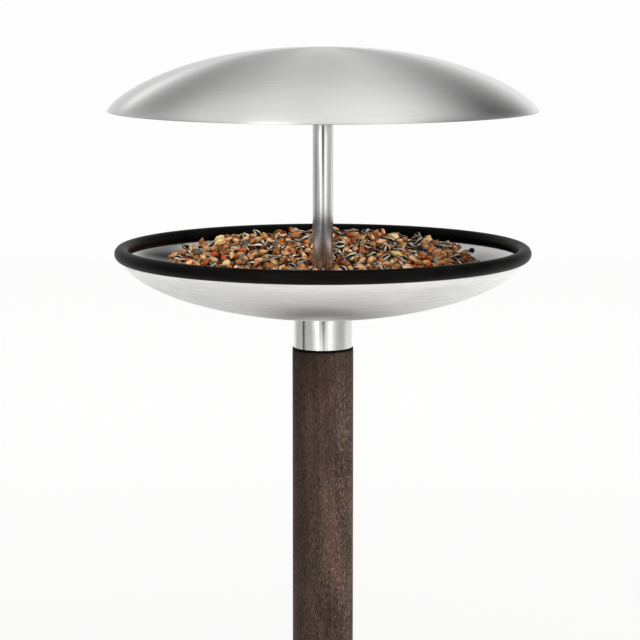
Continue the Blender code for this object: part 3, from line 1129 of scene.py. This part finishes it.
huskLook = {
    "stripes": 4,
    "shift": 40,  # turns the stripes of each seed another way
    "wobbles": 420,
    "wobble": 2.0,
    "uneven": 0.8,  # how much some seeds are paler than others
    "stripeEdge": (-0.05, 0.3),
    "black": (0.010, 0.010, 0.012),
    "cream": (0.86, 0.74, 0.55),
    "grey": (0.42, 0.34, 0.24),
    "specular": 0.08,
    "roughness": 0.5,
    "roughChange": 0.2,
}
skinLook = {
    # what the other grains share: blotches, and darker ends, partly the grains' own tips and partly painted
    # shade, that start and are full at these shares of the length
    "blotches": 500,
    "blotchEdge": (0.45, 0.75),
    "upperEnd": (0.66, 0.97),
    "lowerEnd": (0.22, 0.03),
    "specular": 0.1,
    "roughChange": 0.15,
}


def grainSkin(name, ownLook):
    look = {**skinLook, **ownLook}
    material, s = newMaterial(name, {"Specular IOR Level": look["specular"]})
    shade, around, along = grainNodes(s)
    blotch = s.noise(objectPlace(s)[0], 2, 0.6, look["blotches"])
    colour = s.node("ShaderNodeValToRGB", {"stops": look["tones"]}, {0: shade})
    # the ends darken towards the tip colour: partly the grains' own darker tips, partly painted shade
    tipsAndShade = along.between(*look["upperEnd"]) + along.between(*look["lowerEnd"])
    tipShadeAndBlotch = (tipsAndShade * 0.6 + blotch.between(*look["blotchEdge"]) * 0.5).limit()
    colour = s.blend(tipShadeAndBlotch, colour, look["tip"])
    return feed(material, colour, look["roughness"] + blotch * look["roughChange"])


# each look's tip colour is partly a grain's own darker tip, partly painted shade on both ends
grainLooks = {
    "maizeBit": {
        "tones": [(0.0, (0.62, 0.38, 0.09)), (0.5, (0.74, 0.52, 0.18)), (1.0, (0.84, 0.68, 0.36))],
        "tip": (0.66, 0.44, 0.20),
        "roughness": 0.38,
        "specular": 0.18,
    },
    "wheatGrain": {
        "tones": [(0.0, (0.20, 0.06, 0.018)), (0.4, (0.56, 0.22, 0.07)), (1.0, (0.96, 0.60, 0.29))],
        "tip": (0.12, 0.04, 0.015),
        "roughness": 0.34,
        "specular": 0.18,
    },
    "redGrain": {
        "tones": [(0.0, (0.34, 0.04, 0.015)), (0.5, (0.58, 0.10, 0.025)), (1.0, (0.72, 0.22, 0.05))],
        "tip": (0.24, 0.045, 0.02),
        "roughness": 0.34,
        "specular": 0.18,
    },
    "milletGrain": {
        "tones": [(0.0, (0.72, 0.54, 0.28)), (0.6, (0.84, 0.74, 0.50)), (1.0, (0.58, 0.28, 0.12))],
        "tip": (0.52, 0.37, 0.18),
        "roughness": 0.35,
    },
    "darkSeed": {
        "tones": [(0.0, (0.016, 0.016, 0.018)), (0.5, (0.06, 0.055, 0.05)), (1.0, (0.30, 0.29, 0.22))],
        "tip": (0.04, 0.036, 0.03),
        "roughness": 0.4,
    },
    # painted shade: near black, so the gaps between the loose grains look shaded
    "shadedPackedSeed": {
        "tones": [(0.0, (0.012, 0.007, 0.004)), (1.0, (0.02, 0.012, 0.007))],
        "tip": (0.012, 0.008, 0.006),
        "roughness": 0.8,
    },
}


def makeSeed():
    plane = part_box("bowl")[1].z - bowlForm["bite"]
    places = layGrains(plane)
    for name, kind in grainKinds.items():
        piece = joinGrains(name + "s", kind, modelGrain(name, kind), places[name])
        striped = name == "sunflowerSeed"
        skin = stripedHusk(huskLook) if striped else grainSkin(name + "Skin", grainLooks[name])
        finishPiece(piece, skin, "bowl", "bird_seed", angle=60)
    makePackedSeed(plane)


packedForm = {
    "clear": 0.0004,  # over the bowl's wall
    "edgeFrom": 0.012,  # where the heap's edge is looked for
    "edgePast": 0.004,
    "samples": 160,
    "wallSteps": 40,
    "steps": 20,
    "turns": 96,
}
# The turned blank: three heights, which tell its underside, the hollow's ceiling and its top apart
blank = {"width": 0.1, "under": 0, "ceiling": 0.02, "top": 0.05}


def makePackedSeed(plane):
    # the imported seed below the loose grains, painted near black as the shade in the gaps between them: a
    # blank whose points then take the bowl's and the heap's shapes
    bowlRadius, depth = bowlShape()[:2]
    radii = np.linspace(packedForm["edgeFrom"], heap["reach"] + packedForm["edgePast"], packedForm["samples"])
    wallHeights = np.interp(radii, *bowlWall(packedForm["wallSteps"])) + packedForm["clear"]
    (hollow, ceiling), rod = heap["hollow"], heap["rodClear"]
    steps, width = packedForm["steps"], blank["width"]
    shares = [i / steps for i in range(steps + 1)]
    outline = [(hollow + width * t, blank["under"]) for t in shares]
    outline += [(rod + width * (1 - t), blank["top"]) for t in shares]
    outline += [(rod, blank["ceiling"]), (hollow, blank["ceiling"])]
    piece = turnOutline("shadedPackedSeed", outline, packedForm["turns"])
    for point in piece.data.vertices:
        x, y, z = point.co
        radius = math.hypot(x, y)
        cx, cy = x / radius, y / radius
        heights = heapHeight(radii * cx, radii * cy, bowlRadius) - heap["skin"]
        edge = float(radii[heights > wallHeights].max())
        if z < (blank["under"] + blank["ceiling"]) / 2:
            away = hollow + (edge - hollow) * (radius - hollow) / width
            height = float(np.interp(away, radii, wallHeights))
        elif z > (blank["ceiling"] + blank["top"]) / 2:
            away = rod + (edge - rod) * (radius - rod) / width
            height = float(heapHeight(away * cx, away * cy, bowlRadius)) - heap["skin"]
        else:
            away, height = radius, ceiling - depth
        point.co = (cx * away, cy * away, plane + height)
    finishPiece(piece, grainSkin("packedSeedPaintedShade", grainLooks["shadedPackedSeed"]), "bowl", "bird_seed", "seed_mix")


# Floor, light and the white room
floorLook = {
    "width": 16.0,
    "colour": (0.86, 0.86, 0.85),
    "roughness": 0.75,
    "specular": 0.1,
    "glowNear": 0.51,  # added as the camera sees it, near the feeder
    "glowFar": 0.715,  # and far from the lamps
    "nearTo": 0.3,  # distances from the feeder
    "farFrom": 5.0,
}
studio = {
    "backdrop": 0.985,
    "softLight": 0.26,  # what the white room adds to plain surfaces
    "metalLight": 0.99,  # the room's white walls as metal shows them
    "darkest": 0.02,  # the least that metal shows
    "eyeHeight": 1.0,  # of the point over the floor from which metal sees it
}
# Softboxes and dark flags round the feeder, as metal shows them. Each has a middle, a half size and a soft
# edge in degrees, across and up: across starts at the camera's side and is below 0 on the left.
roomParts = {
    "keySoftbox": {"across": (-28.5, 12.5, 7), "up": (20, 18, 7), "light": 2.4},
    "lowReflector": {"across": (-8, 13, 14), "up": (-28, 12, 12), "light": 1.6},
    "fillSoftbox": {"across": (32, 5.5, 13), "up": (14, 24, 12), "light": 0.6},
    "cameraGap": {"across": (-2, 12, 11), "up": (13, 14, 9), "light": -1.4},
    "leftFlag": {"across": (-80, 24, 18), "up": (18, 15, 12), "light": -0.61},
    "rightFlag": {"across": (108, 44, 13), "up": (30, 22, 18), "light": -0.75},
    "highFlag": {"across": (163, 9, 6), "up": (28, 8, 6), "light": -0.2},
    "backFlag": {"across": (-175, 46, 30), "up": (38, 14, 18), "light": -0.48},
    "backLeftWall": {"across": (-137, 40, 14), "up": (24, 22, 10), "light": -0.27},
    "backStrip": {"across": (-161, 8, 3), "up": (21, 2.5, 2.5), "light": 1.3},
    "farFloor": {"across": (-165, 22, 14), "up": (-33, 8, 7), "light": -0.75},
    "ceiling": {"across": (75, 105, 40), "up": (77, 28, 10), "light": 0.2},
    "brightFloor": {"across": (40, 110, 40), "up": (-42, 25, 10), "light": 0.3},
    # what the rod and collar show, a little below the horizon
    "keyFoot": {"across": (-21, 5, 4), "up": (-8, 9, 4), "light": 0.7},
    "tripodGap": {"across": (3, 3, 4), "up": (-8, 9, 4), "light": -0.6},
    "fillFoot": {"across": (25, 7, 6), "up": (-8, 9, 4), "light": 0.25},
    "leftWall": {"across": (-85, 48, 10), "up": (-8, 9, 4), "light": -0.4},
    "leftEdge": {"across": (-82, 5.5, 5), "up": (-8, 9, 4), "light": -0.5},
    "rightWall": {"across": (74, 24, 14), "up": (-8, 9, 4), "light": -0.42},
}
lamps = {
    "keyLamp": {"place": (-1.5, -2.0, 2.2), "aim": (0, 0, 0.95), "width": 0.3, "height": 0.3, "power": 43},
    "fillLamp": {"place": (1.9, -1.5, 1.3), "aim": (0, 0, 0.95), "width": 0.5, "height": 0.5, "power": 60},
}


def roomLight(s, direction):
    # what metal shows in this direction: white walls, softboxes and flags
    split = s.node("ShaderNodeSeparateXYZ", None, {0: direction})
    azimuth = s.maths("ARCTAN2", split.out("X"), split.out("Y") * -1) * (180 / math.pi)
    elevation = s.maths("ARCSINE", split.out("Z")) * (180 / math.pi)

    def inside(angle, half, soft):
        return 1 - s.maths("ABSOLUTE", angle).between(half - soft, half + soft)

    light = studio["metalLight"]
    for part in roomParts.values():
        middle, half, soft = part["across"]
        across = inside(s.maths("WRAP", azimuth - middle, 180.0, -180.0), half, soft)
        middle, half, soft = part["up"]
        light = light + across * inside(elevation - middle, half, soft) * part["light"]
    return s.maths("MAXIMUM", light, studio["darkest"])


def lightPath(s):
    # the ray's kinds, and 1 where the camera looks, straight or through something clear
    ray = s.node("ShaderNodeLightPath", output="Is Camera Ray")
    return ray, s.maths("MAXIMUM", ray, ray.out("Is Transmission Ray"))


def makeFloor():
    deselectAll()
    bpy.ops.mesh.primitive_plane_add(size=floorLook["width"])
    floor = bpy.context.object
    floor.name = "studioFloor"
    fixed = {
        "Base Color": floorLook["colour"],
        "Roughness": floorLook["roughness"],
        "Specular IOR Level": floorLook["specular"],
    }
    material, s = newMaterial("studioFloor", fixed)
    x, y = objectPlace(s)[1:3]
    ray, seen = lightPath(s)
    far = ((x * x + y * y) ** 0.5).between(floorLook["nearTo"], floorLook["farFrom"])
    level = far * (floorLook["glowFar"] - floorLook["glowNear"]) + floorLook["glowNear"]
    glow = s.glow(seen * level)
    shader = Signal(s.tree, s.tree.nodes["Principled BSDF"].outputs[0])
    both = s.node("ShaderNodeAddShader", None, {0: shader, 1: glow})
    downwards = s.vector(x, y, -studio["eyeHeight"])
    direction = s.node("ShaderNodeVectorMath", {"operation": "NORMALIZE"}, {0: downwards})
    mirrored = s.glow(roomLight(s, direction))
    look = s.node("ShaderNodeMixShader", None, {0: ray.out("Is Glossy Ray"), 1: both, 2: mirrored})
    s.tree.links.new(look.socket, s.tree.nodes["Material Output"].inputs["Surface"])
    floor.data.materials.append(material)
    print("floor laid")


def makeRoom():
    world = bpy.data.worlds.new("whiteRoom")
    world.use_nodes = True
    bpy.context.scene.world = world
    s = Signal(world.node_tree)
    back = world.node_tree.nodes["Background"]
    ray, seen = lightPath(s)
    glossy = ray.out("Is Glossy Ray")
    plain = 1 - s.maths("MAXIMUM", seen, glossy)
    direction = s.node("ShaderNodeTexCoord", output="Generated")
    strength = seen * studio["backdrop"] + glossy * roomLight(s, direction) + plain * studio["softLight"]
    world.node_tree.links.new(strength.socket, back.inputs["Strength"])
    back.inputs["Color"].default_value = (1, 1, 1, 1)
    print("room lit")


def makeLamps():
    # they light plain surfaces; metal shows the room's softboxes instead
    for name, lampLook in lamps.items():
        place, aim = np.array(lampLook["place"]), np.array(lampLook["aim"])
        bpy.ops.object.light_add(type="AREA", location=lampLook["place"])
        lamp = bpy.context.object
        lamp.name = name
        lamp.visible_glossy = False
        lamp.data.shape = "RECTANGLE"
        lamp.data.size = lampLook["width"]
        lamp.data.size_y = lampLook["height"]
        lamp.data.energy = lampLook["power"]
        run = aim - place
        yaw = math.atan2(run[1], run[0]) - math.pi / 2
        pitch = math.atan2(run[2], math.hypot(run[0], run[1]))
        lamp.rotation_euler = (math.pi / 2 + pitch, 0, yaw)
        print("lamp", name)


placeCamera()
makeFloor()
makeRoom()
makeLamps()
steels = {
    "roof": brushedSteel("roofSteel", roofSteelLook),
    "bowl": brushedSteel("bowlSteel", bowlSteelLook),
    "inner": brushedSteel("innerSteel", innerSteelLook),
    "tube": brushedSteel("tubeSteel", tubeSteelLook),
    "turned": brushedSteel("turnedSteel", turnedSteelLook),
}
zinc = zincSteel(zincLook)
washerMaterials = {
    "washer_rubber": rubber("washerRubber", washerRubberLook),
    "turned_steel": steels["turned"],
}
makeRoof(steels["roof"], brushedSteel("rimShadeSteel", rimShadeLook))
makeBoss(steels["turned"])
makeBowl(steels["bowl"], steels["inner"])
makeRing(rubber("perchRubber", perchRubberLook))
makeRodTube(steels["tube"])
makePlug("rodUpperPlug", "rod_upper_plug", screwForms["upper"], True, steels["turned"])
makePlug("rodLowerPlug", "rod_lower_plug", screwForms["lower"], False, steels["turned"])
makeWashers(washerMaterials)
makeCollar(steels["tube"])
makeHub(steels["turned"])
makeStud(zinc)
makePole(darkWood(woodLook))
makeInserts(insertBrass(brassLook))
makeStopPlate(zinc)
makeSpike(zinc)
makeSeed()
bpy.context.scene.view_settings.view_transform = "Standard"
